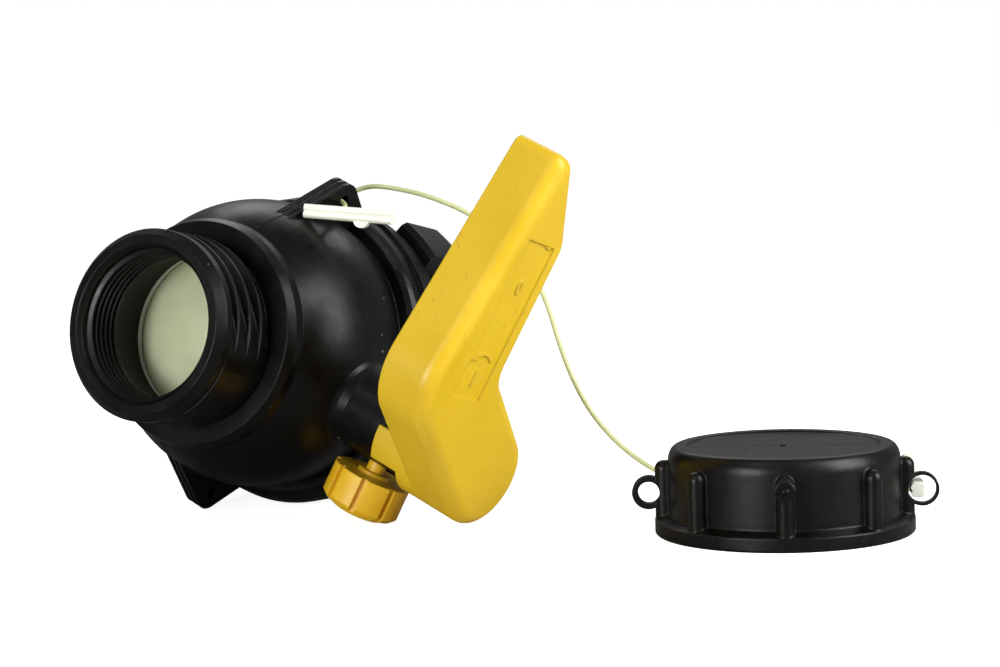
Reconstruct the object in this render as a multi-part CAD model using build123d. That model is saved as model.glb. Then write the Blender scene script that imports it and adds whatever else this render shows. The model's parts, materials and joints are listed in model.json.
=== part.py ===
from build123d import *
import math
import os

# Two-inch outlet ball valve of an intermediate bulk container, closed, lying on a flat surface
# beside its dust cap, which stands on its open side. A thin tether joins the two.
# Each valve piece is made in the valve's own frame: origin at the ball's centre, +X along the flow
# to the outlet, +Z along the stem to the handle, +Y away from the closed handle's arm.
# The pieces are then laid down in the shared frame: +Z up, origin under the middle of valve and cap.
# Lengths are in millimetres, angles in degrees.

# ---- Ball and chamber ----
ball_r = 38.0
port_r = 24.0
chamber_gap = 1.0
slot_width = 8.0
slot_length = 30.0
slot_depth = 7.0

# ---- Seats ----
seat_floor_inset = 7.0
seat_length = 10.0
seat_step = 2.2
seat_land = 0.8
seat_clearance = 0.2
ball_seat_gap = 0.3

# ---- Outlet spout ----
shoulder_step = 5.0
shoulder_length = 3.0
shoulder_height = 7.8
shoulder_slope = 1.3
spout_length = 27.0
spout_root_r = 27.5
spout_wall = 2.0
spout_pitch = 6.0
spout_thread_height = 2.5
spout_crest_width = 1.1
spout_base_width = 3.4
lip_drop = 0.2
lip_chamfer_r = 2.2
lip_chamfer_length = 2.7
lip_land_length = 2.8
thread_land_rise = 0.25
thread_land_middle = 70.0
thread_land_shift = 5.6
thread_land_curve_drop = 2.5
thread_relief = 1.5
mouth_step = 1.2
mouth_chamfer_length = 1.2
hose_wall = 3.6
hose_thread_height = 1.5
hose_thread_length = 19.7
hose_pitch = 2.309
hose_base_width = 1.9
hose_crest_width = 0.5
hose_thread_turn = 180.0

# ---- Body shell ----
dome_wall = 7.9
rear_ring_front_x = -16.0
rear_ring_length = 19.0
rear_ring_wall = 8.4
rear_ring_draft = 1.3
rear_ring_edge = 1.0
rear_band_length = 8.0
rear_band_drop = 1.2
rear_band_round = 2.5
socket_step = 4.0
socket_floor_inset = 4.0
ear_x = -7.0
ear_thickness = 6.0
ear_hole_height = 6.1
ear_hole_r = 2.3
ear_apex_wall = 4.0
ear_half_angle = 55.0
ear_root_depth = 6.0
ear_rib_count = 3
ear_rib_width = 1.2
ear_rib_height = 0.5

# ---- Stem boss on the body ----
boss_wall = 4.5
boss_height = 28.6
boss_flare = 2.9
boss_flare_start = 3.9
boss_flare_height = 5.0
boss_flare_sag = 0.4
boss_root_height = 2.0

# ---- Tail ----
tail_wall = 7.9
tail_length = 28.0
tail_socket_clearance = 0.1
tail_back_inset = 0.5
tail_seal_inset = 7.5
tail_seal_section_r = 0.9
tail_seal_groove_width = 2.2

# ---- Coupling nut towards the tank ----
nut_gap = 1.0
nut_length = 26.0
nut_floor_length = 4.5
nut_wall = 7.0
nut_bore_clearance = 0.3
nut_lug_height = 9.4
nut_lug_width = 17.0
nut_lug_root = 4.0
nut_lug_count = 4
nut_lug_turn = 71.0
nut_lug_chamfer = 5.0
nut_edge_chamfer = 1.5
tank_major_r = 37.6
tank_thread_height = 2.4
tank_pitch = 6.0
tank_thread_length = 7.7
tank_crest_width = 1.4
tank_base_width = 3.6
stop_ring_thickness = 3.2
stop_ring_height = 2.7
stop_ring_groove_depth = 1.4
stop_ring_gap = 6.0
stop_ring_play = 0.3
stop_ring_clearance = 0.1
tank_gasket_thickness = 3.0
tank_gasket_inset = 0.6
tank_gasket_clearance = 0.4

# ---- Stem ----
stem_r = 8.95
stem_clearance = 0.05
stem_flange_width = 3.05
stem_flange_thickness = 3.4
stem_flange_gap = 0.2
stem_flange_clearance = 0.4
washer_thickness = 0.9
washer_play = 0.05
tang_length = 16.0
tang_clearance = 0.15
stem_square = 12.0
stem_square_length = 12.1
stem_seal_rise = 1.1
stem_seal_spacing = 5.0
stem_seal_section_r = 0.65
stem_seal_groove_width = 1.7
clip_thickness = 1.2
clip_width = 2.25
clip_groove_depth = 0.7
clip_gap = 5.0
clip_play = 0.1

# ---- Handle ----
handle_gap = 5.3
handle_height = 18.0
handle_wall = 3.0
handle_roof = 3.5
handle_edge_r = 4.5
hub_wall = 2.0
hub_clearance = 0.7
hub_skirt_length = 7.0
web_turn = 57.0
web_length = 62.4
arm_far_x = 21.2
arm_tip_far_x = 19.6
arm_tip_far_y = 77.0
arm_tip_inner_x = 36.4
arm_tip_inner_y = 101.5
arm_tip_near_x = 43.6
arm_tip_near_y = 103.0
near_bend_r = 20.0
far_bend_r = 8.0
tip_far_r = 9.0
tip_end_r = 3.4
socket_wall = 2.2
socket_clearance = 0.1
socket_post_gap = 0.5
rib_thickness = 2.0
rib_inset = 2.0
rib_bend_reach = 45.0
cross_rib_count = 4
cross_rib_spacing = 21.0
cross_rib_start = 8.0
tab_clearance = 0.75
tab_start_angle = -3.5
tab_end_angle = 38.0
panel_x = 36.5
panel_y = 51.0
panel_width = 16.2
panel_length = 50.4
panel_turn = 3.4
panel_depth = 0.5
mark_height = 0.4
mark_width = 1.1
mark_arrow_r = 8.0
mark_arrow_sweep = 75.0
mark_arrow_head = 3.2
mark_spacing = 30.0
mark_digit_height = 5.0
mark_digit_width = 3.2
mark_digit_offset = 1.5

# ---- Locking screw ----
lock_rise = 12.95
lock_shank_r = 3.0
lock_bore_clearance = 0.05
lock_head_gap = 4.0
lock_head_length = 11.7
lock_head_r = 12.7
lock_head_chamfer = 1.6
lock_lobe_count = 8
lock_groove_width = 1.8
lock_groove_depth = 1.7
lock_crown_r = 9.5
lock_crown_height = 1.2
lock_collar_r = 5.2
lock_collar_height = 1.2
lock_pad_length = 1.6
lock_pad_gap = 0.3

# ---- Dust cap ----
cap_place_x = 163.2
cap_place_y = -65.7
cap_turn = -6.0
cap_height = 26.5
cap_wall = 4.5
cap_rim_width = 4.2
cap_rim_height = 4.2
cap_rim_slope = 1.4
cap_shoulder_height = 4.8
cap_shoulder_width = 2.9
cap_top_land = 3.5
cap_dish_depth = 0.7
cap_thread_clearance = 0.4
cap_roof = 5.0
cap_thread_start_z = 4.0
cap_thread_end_gap = 3.2
cap_mouth_chamfer = 1.0
cap_rib_count = 8
cap_rib_width = 5.3
cap_rib_depth = 4.0
cap_rib_root = 2.0
cap_rib_bottom_z = 3.0
cap_rib_top_gap = 4.5
cap_eye_z = 12.2
cap_eye_outer_r = 5.1
cap_eye_thickness = 3.0
left_eye_reach = 1.9
left_eye_hole_r = 3.3
right_eye_reach = 2.2
right_eye_hole_r = 4.2
cap_gate_r = 0.9
cap_gate_height = 0.4
cap_rib_gate_r = 3.0
cap_rib_gate_z = 18.0
cap_rib_gate_length = 0.6
cap_line_width = 0.5
cap_line_gap = 2.0
cap_line_depth = 0.35
cap_gasket_thickness = 2.0
cap_gasket_width = 7.5
cap_gasket_clearance = 0.4

# ---- Tether and its toggles ----
tether_r = 0.8
toggle_length = 29.0
toggle_height = 4.5
toggle_depth = 4.1
toggle_corner_r = 1.2
toggle_groove_width = 1.2
toggle_neck_r = 1.7
toggle_neck_gap = 0.3
toggle_gate_r = 2.5
toggle_gate_inset = 0.5
toggle_gate_offset = 4.5
toggle_gate_drop = 1.6

# Places in the shared frame. Each toggle: middle, direction along the bar, the way its grooved face
# looks, and how far from the middle its neck stands. The route runs from the valve's toggle to the cap's.
valve_toggle_middle = (-45.1, -5.2, 97.4)
valve_toggle_along = (28.9, -6.8, -2.8)
valve_toggle_face = (0.0, -1.0, 0.1)
valve_toggle_neck = -4.8
cap_toggle_middle = (126.1, -43.95, 14.3)
cap_toggle_along = (0.053, 0.98, 0.17)
cap_toggle_face = (0.995, -0.105, 0.0)
cap_toggle_neck = 0.0
tether_route = [
    (-49.0, 3.5, 98.2),
    (-45.2, 13.8, 98.9),
    (-54.3, 19.9, 103.8),
    (-56.3, 27.3, 101.6),
    (-50.2, 33.1, 100.8),
    (-41.1, 32.0, 105.3),
    (-31.2, 29.0, 104.0),
    (-19.9, 23.3, 101.2),
    (-7.0, 20.8, 95.4),
    (3.8, 17.8, 87.5),
    (11.8, 15.3, 77.5),
    (17.3, 11.8, 66.0),
    (20.7, 9.0, 52.5),
    (25.1, 5.8, 40.0),
    (31.1, 3.0, 29.0),
    (39.8, -0.5, 19.2),
    (50.0, -4.2, 12.0),
    (61.8, -6.7, 6.5),
    (74.8, -7.7, 3.2),
    (88.8, -7.5, 2.0),
    (102.3, -9.7, 1.8),
    (116.0, -18.9, 2.2),
    (124.3, -30.6, 4.0),
    (126.0, -39.15, 10.2),
]

# Depth to which every thread's ridge is rooted in its wall.
thread_sink = 0.5

# How far a cutter runs past the wall that it cuts.
cut_margin = 1.0

# ---- How the valve lies ----
flow_heading = -119.0

# ---- Sizes that follow from the ones above ----
# Chamber, seats and dome.
chamber_r = ball_r + chamber_gap
seat_floor_x = ball_r - seat_floor_inset
seat_front_x = seat_floor_x - seat_length
seat_face_r = ball_r + ball_seat_gap
seat_inner_r = port_r + seat_step
seat_outer_r = math.sqrt(seat_face_r**2 - seat_front_x**2) + seat_land
seat_pocket_r = seat_outer_r + seat_clearance
dome_r = chamber_r + dome_wall
# Spout.
shoulder_x = seat_floor_x + shoulder_step
lip_x = shoulder_x + spout_length
land_end_x = lip_x - lip_chamfer_length - lip_land_length
hose_end_x = lip_x - hose_thread_length
spout_crest_r = spout_root_r + spout_thread_height
lip_r = spout_crest_r - lip_drop
thread_land_r = spout_crest_r + thread_land_rise
shoulder_front_r = spout_root_r + shoulder_height
shoulder_back_r = shoulder_front_r + shoulder_slope
spout_bore_r = spout_root_r - spout_wall
hose_major_r = spout_root_r - hose_wall
hose_minor_r = hose_major_r - hose_thread_height
mouth_r = hose_major_r + mouth_step
# Rear ring, its socket and the ears.
tail_socket_r = chamber_r + socket_step
rear_ring_r = tail_socket_r + rear_ring_wall
rear_ring_back_r = rear_ring_r - rear_ring_draft
rear_band_r = rear_ring_r - rear_band_drop
rear_band_back_x = rear_ring_front_x - rear_band_length
rear_ring_back_x = rear_ring_front_x - rear_ring_length
socket_floor_x = rear_ring_front_x - socket_floor_inset
ear_hole_y = dome_r + ear_hole_height
ear_apex_r = ear_hole_r + ear_apex_wall
# Tail, stop ring, nut and tank gasket.
tail_flange_r = tail_socket_r - tail_socket_clearance
tail_flange_back_x = rear_ring_back_x + tail_back_inset
tail_end_x = socket_floor_x - tail_length
tail_neck_r = port_r + tail_wall
tail_seal_x = socket_floor_x - tail_seal_inset
nut_front_x = rear_ring_back_x - nut_gap
nut_floor_x = nut_front_x - nut_floor_length
nut_back_x = nut_front_x - nut_length
nut_base_r = tank_major_r + nut_wall
nut_lug_r = nut_base_r + nut_lug_height
nut_bore_r = tail_neck_r + nut_bore_clearance
tank_minor_r = tank_major_r - tank_thread_height
stop_front_x = nut_floor_x - stop_ring_play
stop_groove_r = tail_neck_r - stop_ring_groove_depth
stop_ring_outer_r = tail_neck_r + stop_ring_height
tank_gasket_inner_r = port_r + tank_gasket_inset
tank_gasket_outer_r = tank_minor_r - tank_gasket_clearance
# Stem and boss.
stem_bore_r = stem_r + stem_clearance
stem_flange_r = stem_r + stem_flange_width
stem_pocket_r = stem_flange_r + stem_flange_clearance
stem_flange_z = chamber_r + stem_flange_gap
washer_z = stem_flange_z + stem_flange_thickness + washer_play
stem_pocket_z = washer_z + washer_thickness + washer_play
stem_seal_z = dome_r + stem_seal_rise
boss_r = stem_bore_r + boss_wall
boss_flare_r = boss_r + boss_flare
boss_flare_z = dome_r - boss_flare_start
boss_top_z = dome_r + boss_height
clip_outer_r = stem_r + clip_width
clip_z = boss_top_z + clip_play
clip_top_z = clip_z + clip_thickness
stem_square_z = clip_top_z + clip_play + socket_post_gap
stem_top_z = stem_square_z + stem_square_length
# Handle and locking screw.
handle_bottom_z = boss_top_z + handle_gap
handle_top_z = handle_bottom_z + handle_height
handle_roof_z = handle_top_z - handle_roof
hub_skirt_inner_r = boss_r + hub_clearance
hub_r = hub_skirt_inner_r + hub_wall
hub_skirt_z = handle_bottom_z - hub_skirt_length
socket_post_z = stem_square_z + socket_post_gap
socket_post_r = (stem_square / 2 + socket_clearance) * math.sqrt(2) + socket_wall
lock_z = dome_r + lock_rise
lock_bore_r = lock_shank_r + lock_bore_clearance
lock_head_y = boss_r + lock_head_gap
lock_end_y = lock_head_y + lock_head_length
tab_bottom_z = lock_z + lock_shank_r + tab_clearance
# Dust cap.
cap_major_r = spout_crest_r + cap_thread_clearance
cap_minor_r = spout_root_r + cap_thread_clearance
cap_roof_z = cap_height - cap_roof
cap_shoulder_z = cap_height - cap_shoulder_height
cap_dish_z = cap_height - cap_dish_depth
cap_body_r = cap_major_r + cap_wall
cap_rim_r = cap_body_r + cap_rim_width
cap_top_r = cap_body_r - cap_shoulder_width
cap_dish_r = cap_top_r - cap_top_land
cap_rib_outer_r = cap_body_r + cap_rib_depth
cap_rib_top_z = cap_height - cap_rib_top_gap
left_eye_x = cap_rib_outer_r + left_eye_reach
right_eye_x = cap_rib_outer_r + right_eye_reach


def turned(points):
    """Solid of revolution from (along, radius) points about the X axis."""
    return revolve(make_face(Polyline(*points, close=True)), Axis.X)


def on_sphere(radius, along):
    """Point of a sphere's outline at a place along the flow."""
    return (along, math.sqrt(radius**2 - along**2))


def sphere_arc(radius, start, end):
    """Arc of a sphere's outline between two places along the flow."""
    middle = (math.acos(start / radius) + math.acos(end / radius)) / 2
    through = (radius * math.cos(middle), radius * math.sin(middle))
    return ThreePointArc(on_sphere(radius, start), through, on_sphere(radius, end))


def disc(radius, start, end, axis="X"):
    """Cylinder about a main axis between two positions along it."""
    turn = {"X": (0, 90, 0), "Y": (-90, 0, 0), "Z": (0, 0, 0)}[axis]
    shape = Cylinder(radius, end - start, align=(Align.CENTER, Align.CENTER, Align.MIN))
    return Rotation(*turn) * Pos(0, 0, start) * shape


def tube(outer_r, inner_r, start, end, axis="X"):
    """Hollow cylinder about a main axis."""
    return disc(outer_r, start, end, axis) - disc(inner_r, start, end, axis)


def standing_box(length, width, height):
    """Box centred on the Z axis, standing on the XY plane."""
    return Box(length, width, height, align=(Align.CENTER, Align.CENTER, Align.MIN))


def ring_cut(wall_r, floor_r, start, end, axis="X"):
    """Cutter for a groove turned into a shaft."""
    return disc(wall_r + cut_margin, start, end, axis) - disc(floor_r, start, end, axis)


def thread_ridge(root_r, crest_r, pitch, start, end, base_width, crest_width):
    """Helical ridge about +Z from start to end; it grows outwards or inwards from root_r."""
    sink = thread_sink if crest_r > root_r else -thread_sink
    path = Helix(pitch, end - start, root_r)
    outline = [
        (root_r - sink, -base_width / 2),
        (crest_r, -crest_width / 2),
        (crest_r, crest_width / 2),
        (root_r - sink, base_width / 2),
    ]
    profile = Plane.XZ * make_face(Polyline(*outline, close=True))
    return Pos(0, 0, start) * sweep(profile, path, is_frenet=True)


def along_x(shape):
    """Turns a shape built about +Z so that it lies about +X."""
    return Rotation(0, 90, 0) * shape


def upright(shape):
    """Turns a shape built about +X so that it stands about +Z."""
    return Rotation(0, -90, 0) * shape


def ring_sector(outer_r, inner_r, start, end, middle_angle, sweep_angle):
    """Piece of a ring about +X, its middle at an angle from +Y towards +Z."""
    far = 2 * outer_r
    half = math.radians(sweep_angle / 2)
    corners = [(0, 0), (far, -far * math.tan(half)), (far, far * math.tan(half))]
    wedge = extrude(Plane.YZ * make_face(Polyline(*corners, close=True)), end - start)
    return tube(outer_r, inner_r, start, end) & Pos(start, 0, 0) * Rotation(middle_angle, 0, 0) * wedge


# ---- Body ----
def body_wall():
    """Wall of the body, turned in one piece: spout, shoulder, dome, rear ring, socket and chamber."""
    shoulder_foot_x = math.sqrt(dome_r**2 - shoulder_back_r**2)
    pocket_mouth_x = math.sqrt(chamber_r**2 - seat_pocket_r**2)
    front = [
        on_sphere(dome_r, shoulder_foot_x),
        (shoulder_x - shoulder_length, shoulder_back_r),
        (shoulder_x, shoulder_front_r),
        (shoulder_x, spout_root_r),
        (land_end_x, spout_root_r),
        (land_end_x, lip_r),
        (lip_x - lip_chamfer_length, lip_r),
        (lip_x, lip_r - lip_chamfer_r),
        (lip_x, mouth_r),
        (lip_x - mouth_chamfer_length, hose_major_r),
        (hose_end_x, hose_major_r),
        (hose_end_x, spout_bore_r),
        (seat_floor_x, spout_bore_r),
        (seat_floor_x, seat_pocket_r),
        on_sphere(chamber_r, pocket_mouth_x),
    ]
    back = [
        (0, chamber_r),
        (socket_floor_x, chamber_r),
        (socket_floor_x, tail_socket_r),
        (rear_ring_back_x, tail_socket_r),
        (rear_ring_back_x, rear_ring_back_r - rear_ring_edge),
        (rear_ring_back_x + rear_ring_edge, rear_ring_back_r),
        (rear_band_back_x, rear_ring_r),
        (rear_band_back_x, rear_band_r),
        (rear_ring_front_x - rear_band_round, rear_band_r),
        (rear_ring_front_x - rear_band_round / 3, rear_band_r - rear_band_round / 3),
        (rear_ring_front_x, rear_band_r - rear_band_round),
        on_sphere(dome_r, rear_ring_front_x),
    ]
    outline = Polyline(*front) + sphere_arc(chamber_r, pocket_mouth_x, 0)
    outline += Polyline(*back) + sphere_arc(dome_r, rear_ring_front_x, shoulder_foot_x)
    return revolve(make_face(outline), Axis.X)


def thread_land(number):
    """One of two opposite lands where the mould parts: the outlet thread sinks into it and comes out again."""
    start, end = shoulder_x + thread_relief, land_end_x
    wall = tube(thread_land_r, spout_root_r - thread_sink, start, end)
    curve = disc(spout_root_r - thread_land_curve_drop, start, end)
    return wall & Rotation(thread_land_middle + number * 180, 0, 0) * Pos(0, thread_land_shift, 0) * curve


def spout_thread():
    """Outlet thread's helical ridge."""
    start = shoulder_x + spout_base_width / 2 + thread_sink
    end = land_end_x - spout_crest_width / 2
    return along_x(thread_ridge(spout_root_r, spout_crest_r, spout_pitch, start, end, spout_base_width,
                                spout_crest_width))


def ear_outline(side, inset):
    """Rounded triangle around an ear's hole, in the plane where the mould parts."""
    slope = math.radians(ear_half_angle)
    tip = ear_hole_y + ear_apex_r / math.sin(slope) - inset / math.sin(slope)
    foot = dome_r - ear_root_depth
    half_foot = (tip - foot) * math.tan(slope)
    corners = [(0, side * tip), (half_foot, side * foot), (-half_foot, side * foot)]
    face = make_face(Polyline(*corners, close=True))
    apex = face.vertices().sort_by(Axis.Y)[-1 if side > 0 else 0]
    return fillet(apex, ear_apex_r - inset)


def ear(side):
    """Lug for the tether or a seal wire, with shallow ribs along its edge."""
    plate = extrude(ear_outline(side, ear_rib_height), ear_thickness / 2, both=True)
    step = (ear_thickness - ear_rib_width) / (ear_rib_count - 1)
    for number in range(ear_rib_count):
        place = -ear_thickness / 2 + ear_rib_width / 2 + number * step
        plate += Pos(0, 0, place) * extrude(ear_outline(side, 0), ear_rib_width / 2, both=True)
    hole = Pos(0, side * ear_hole_y, 0) * disc(ear_hole_r, -ear_thickness, ear_thickness, "Z")
    socket = disc(tail_socket_r, rear_ring_back_x - cut_margin, socket_floor_x)
    return Pos(ear_x, 0, 0) * (plate - hole) - socket


def stem_boss():
    """Boss that carries the stem, flared where it leaves the dome."""
    outline = [
        (chamber_r + boss_root_height, 0),
        (chamber_r + boss_root_height, boss_flare_r),
        (boss_flare_z, boss_flare_r),
        (boss_flare_z + boss_flare_height / 2, (boss_flare_r + boss_r) / 2 - boss_flare_sag),
        (boss_flare_z + boss_flare_height, boss_r),
        (boss_top_z, boss_r),
        (boss_top_z, 0),
    ]
    return upright(turned(outline))


def valve_body():
    """One-piece moulded body: wall, stem boss, two ears and the threads inside and outside the spout."""
    shape = body_wall() + stem_boss()
    shape += ear(-1)
    shape += ear(1)
    shape -= disc(stem_bore_r, 0, boss_top_z + cut_margin, "Z")
    shape -= disc(stem_pocket_r, 0, stem_pocket_z, "Z")
    shape -= Pos(0, 0, lock_z) * disc(lock_bore_r, 0, boss_r + cut_margin, "Y")
    shape += thread_land(0)
    shape += thread_land(1)
    shape += spout_thread()
    start = hose_end_x + hose_pitch
    end = lip_x - mouth_chamfer_length - hose_pitch
    hose_thread = thread_ridge(hose_major_r, hose_minor_r, hose_pitch, start, end, hose_base_width,
                               hose_crest_width)
    return shape + Rotation(hose_thread_turn, 0, 0) * along_x(hose_thread)


# ---- Ball and its seats ----
def ball():
    """Ball with a round port and a slot for the stem's tang."""
    slot_floor_z = ball_r - slot_depth
    slot = Pos(0, 0, slot_floor_z) * standing_box(slot_length, slot_width, 2 * slot_depth)
    return Sphere(ball_r) - disc(port_r, -ball_r, ball_r, "Y") - slot


def seat(side):
    """Ring seat whose inner corner follows the ball."""
    inner_x = math.sqrt(seat_face_r**2 - seat_inner_r**2)
    corners = [
        on_sphere(seat_face_r, seat_front_x),
        (seat_front_x, seat_outer_r),
        (seat_floor_x, seat_outer_r),
        (seat_floor_x, seat_inner_r),
        (inner_x, seat_inner_r),
    ]
    ring = revolve(make_face(Polyline(*corners) + sphere_arc(seat_face_r, inner_x, seat_front_x)), Axis.X)
    return ring if side > 0 else ring.mirror(Plane.YZ)


# ---- Tail piece, stop ring and coupling nut ----
def tail_piece():
    """Tail bushing: flange in the body's socket, rear seat pocket, port and neck for the nut."""
    outside = disc(tail_flange_r, tail_flange_back_x, socket_floor_x)
    outside += disc(tail_neck_r, tail_end_x, tail_flange_back_x)
    outside -= disc(seat_pocket_r, -seat_floor_x, 0)
    outside -= disc(port_r, tail_end_x - cut_margin, 0)
    groove_r = tail_flange_r - 2 * tail_seal_section_r
    half = tail_seal_groove_width / 2
    outside -= ring_cut(tail_flange_r, groove_r, tail_seal_x - half, tail_seal_x + half)
    groove_end = stop_front_x - stop_ring_thickness - stop_ring_clearance
    outside -= ring_cut(tail_neck_r, stop_groove_r, groove_end, stop_front_x + stop_ring_clearance)
    return outside


def stop_ring():
    """Split ring in the tail's groove that keeps the nut on."""
    end = stop_front_x - stop_ring_thickness
    ring = tube(stop_ring_outer_r, stop_groove_r + stop_ring_clearance, end, stop_front_x)
    gap = standing_box(2 * stop_ring_thickness + cut_margin, stop_ring_gap, stop_ring_outer_r + cut_margin)
    return ring - Pos(end, 0, 0) * gap


def tank_gasket():
    """Flat ring on the tail's end that seals against the tank's outlet."""
    return tube(tank_gasket_outer_r, tank_gasket_inner_r, tail_end_x - tank_gasket_thickness, tail_end_x)


def tail_seal():
    """O-ring in the tail flange's groove."""
    middle_r = tail_flange_r - tail_seal_section_r
    return Pos(tail_seal_x, 0, 0) * Rotation(0, 90, 0) * Torus(middle_r, tail_seal_section_r)


def nut_lug(turn):
    """One broad grip lug with a slope at its rear end."""
    bar = Pos((nut_front_x + nut_back_x) / 2, 0, 0) * standing_box(nut_length, nut_lug_width, nut_lug_r)
    slope_foot_r = nut_lug_r - nut_lug_chamfer
    outline = [
        (nut_back_x, nut_base_r - nut_lug_root),
        (nut_back_x, slope_foot_r),
        (nut_back_x + nut_lug_chamfer, nut_lug_r),
        (nut_front_x - nut_edge_chamfer, nut_lug_r),
        (nut_front_x, nut_lug_r - nut_edge_chamfer),
        (nut_front_x, nut_base_r - nut_lug_root),
    ]
    return turned(outline) & Rotation(turn, 0, 0) * bar


def coupling_nut():
    """Nut with four lugs; it turns on the tail's neck and screws onto the tank's outlet."""
    outline = [
        (nut_front_x, nut_bore_r),
        (nut_front_x, nut_base_r - nut_edge_chamfer),
        (nut_front_x - nut_edge_chamfer, nut_base_r),
        (nut_back_x + nut_edge_chamfer, nut_base_r),
        (nut_back_x, nut_base_r - nut_edge_chamfer),
        (nut_back_x, tank_major_r),
        (nut_floor_x, tank_major_r),
        (nut_floor_x, nut_bore_r),
    ]
    shape = turned(outline)
    for number in range(nut_lug_count):
        shape += nut_lug(nut_lug_turn + number * 360 / nut_lug_count)
    start = nut_back_x + tank_base_width / 2 + thread_sink
    ridge = thread_ridge(tank_major_r, tank_minor_r, tank_pitch, start, start + tank_thread_length,
                         tank_base_width, tank_crest_width)
    return shape + along_x(ridge)


# ---- Stem and what sits on it ----
def stem():
    """Stem with a tang for the ball, a flange under the body's roof, two grooves and a square top."""
    shape = disc(stem_r, stem_flange_z, stem_square_z, "Z")
    shape += disc(stem_flange_r, stem_flange_z, stem_flange_z + stem_flange_thickness, "Z")
    shape += Pos(0, 0, stem_square_z) * standing_box(stem_square, stem_square, stem_square_length)
    tang_z = ball_r - slot_depth + tang_clearance
    tang_width = slot_width - 2 * tang_clearance
    shape += Pos(0, 0, tang_z) * standing_box(tang_length, tang_width, stem_flange_z - tang_z)
    for seal_z in (stem_seal_z, stem_seal_z + stem_seal_spacing):
        half = stem_seal_groove_width / 2
        shape -= ring_cut(stem_r, stem_r - 2 * stem_seal_section_r, seal_z - half, seal_z + half, "Z")
    return shape - ring_cut(stem_r, stem_r - clip_groove_depth, boss_top_z, clip_top_z + clip_play, "Z")


def stem_seal(number):
    """O-ring in one of the stem's grooves."""
    ring = Torus(stem_r - stem_seal_section_r, stem_seal_section_r)
    return Pos(0, 0, stem_seal_z + number * stem_seal_spacing) * ring


def stem_washer():
    """Thrust washer between the stem's flange and the body's roof."""
    return tube(stem_flange_r, stem_bore_r, washer_z, washer_z + washer_thickness, "Z")


def stem_clip():
    """Split ring that hangs the stem on top of its boss."""
    ring = tube(clip_outer_r, stem_r - clip_groove_depth + clip_play, clip_z, clip_top_z, "Z")
    gap = Box(2 * clip_outer_r, clip_gap, 4 * clip_thickness, align=(Align.MIN, Align.CENTER, Align.CENTER))
    return ring - Pos(0, 0, clip_z) * gap


# ---- Handle ----
web_direction = Vector(math.sin(math.radians(web_turn)), -math.cos(math.radians(web_turn)))
web_side = Vector(-web_direction.Y, web_direction.X)


def handle_outline():
    """Flat outline of the dog-leg lever: a web from the hub to a bend, and a leaning, tapered arm."""
    near_bend = web_side * hub_r + web_direction * web_length
    far_length = (arm_far_x + web_side.X * hub_r) / web_direction.X
    far_bend = web_side * -hub_r + web_direction * far_length
    corners = [
        web_side * hub_r,
        near_bend,
        Vector(arm_tip_near_x, -arm_tip_near_y),
        Vector(arm_tip_inner_x, -arm_tip_inner_y),
        Vector(arm_tip_far_x, -arm_tip_far_y),
        far_bend,
        web_side * -hub_r,
    ]
    rounding = [0, near_bend_r, tip_end_r, tip_end_r, tip_far_r, far_bend_r, 0]
    face = make_face(Polyline(*corners, close=True))
    for corner, radius in zip(corners, rounding):
        if radius:
            face = fillet(face.vertices().sort_by_distance(corner)[0], radius)
    return face + Circle(hub_r)


def socket_post():
    """Square socket in the hub that takes the stem."""
    width = stem_square + 2 * socket_clearance
    depth = stem_top_z + socket_clearance - socket_post_z
    post = disc(socket_post_r, socket_post_z, handle_roof_z, "Z")
    return post - Pos(0, 0, socket_post_z) * standing_box(width, width, depth)


def hollow_ribs():
    """Stiffening ribs under the handle's roof, before they are trimmed to its hollow."""
    height = handle_roof_z - handle_bottom_z - rib_inset
    far = arm_tip_near_y + near_bend_r
    bend = web_direction * rib_bend_reach
    lean = math.degrees(math.atan2(arm_tip_inner_x - bend.X, arm_tip_inner_y + bend.Y))
    web_rib = Rotation(0, 0, -90 + web_turn) * Pos(bend.length / 2, 0, 0) * Box(bend.length, rib_thickness, height)
    arm_rib = Rotation(0, 0, lean) * Pos(0, -far / 2, 0) * Box(rib_thickness, far, height)
    ribs = web_rib + Pos(bend.X, bend.Y, 0) * arm_rib
    for number in range(cross_rib_count):
        place = Pos(bend.X, bend.Y, 0) * Rotation(0, 0, lean) * Pos(0, -cross_rib_start - number * cross_rib_spacing, 0)
        ribs += place * Box(3 * hub_r, rib_thickness, height)
    return Pos(0, 0, handle_roof_z - height / 2) * ribs


def skirt_sector(start_angle, end_angle, bottom_z, top_z):
    """Piece of the hub's skirt between two angles from +X towards +Y."""
    middle = (start_angle + end_angle) / 2
    return upright(ring_sector(hub_r, hub_skirt_inner_r, bottom_z, top_z, middle - 90, end_angle - start_angle))


def panel_marks():
    """Two curved arrows with a ring and a bar for shut and open, inside the handle's panel."""
    marks = Sketch()
    for side in (-1, 1):
        centre = side * mark_spacing / 2
        start = -90 - mark_arrow_sweep / 2
        arc = CenterArc((0, centre + side * mark_arrow_r / 2), mark_arrow_r, start, mark_arrow_sweep)
        marks += trace(arc, mark_width)
        tip = arc @ (1 if side > 0 else 0)
        head = Triangle(a=mark_arrow_head, b=mark_arrow_head, c=mark_arrow_head)
        marks += Pos(tip.X, tip.Y) * Rotation(0, 0, -90 * side + side * mark_arrow_sweep / 2) * head
    digit_r = mark_digit_height / 2
    zero = Ellipse(mark_digit_width / 2, digit_r) - Ellipse(mark_digit_width / 2 - mark_width, digit_r - mark_width)
    marks += Pos(0, mark_digit_offset + digit_r - mark_spacing / 2) * zero
    marks += Pos(0, mark_digit_offset + digit_r + mark_spacing / 2) * Rectangle(mark_width, mark_digit_height)
    return marks


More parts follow.
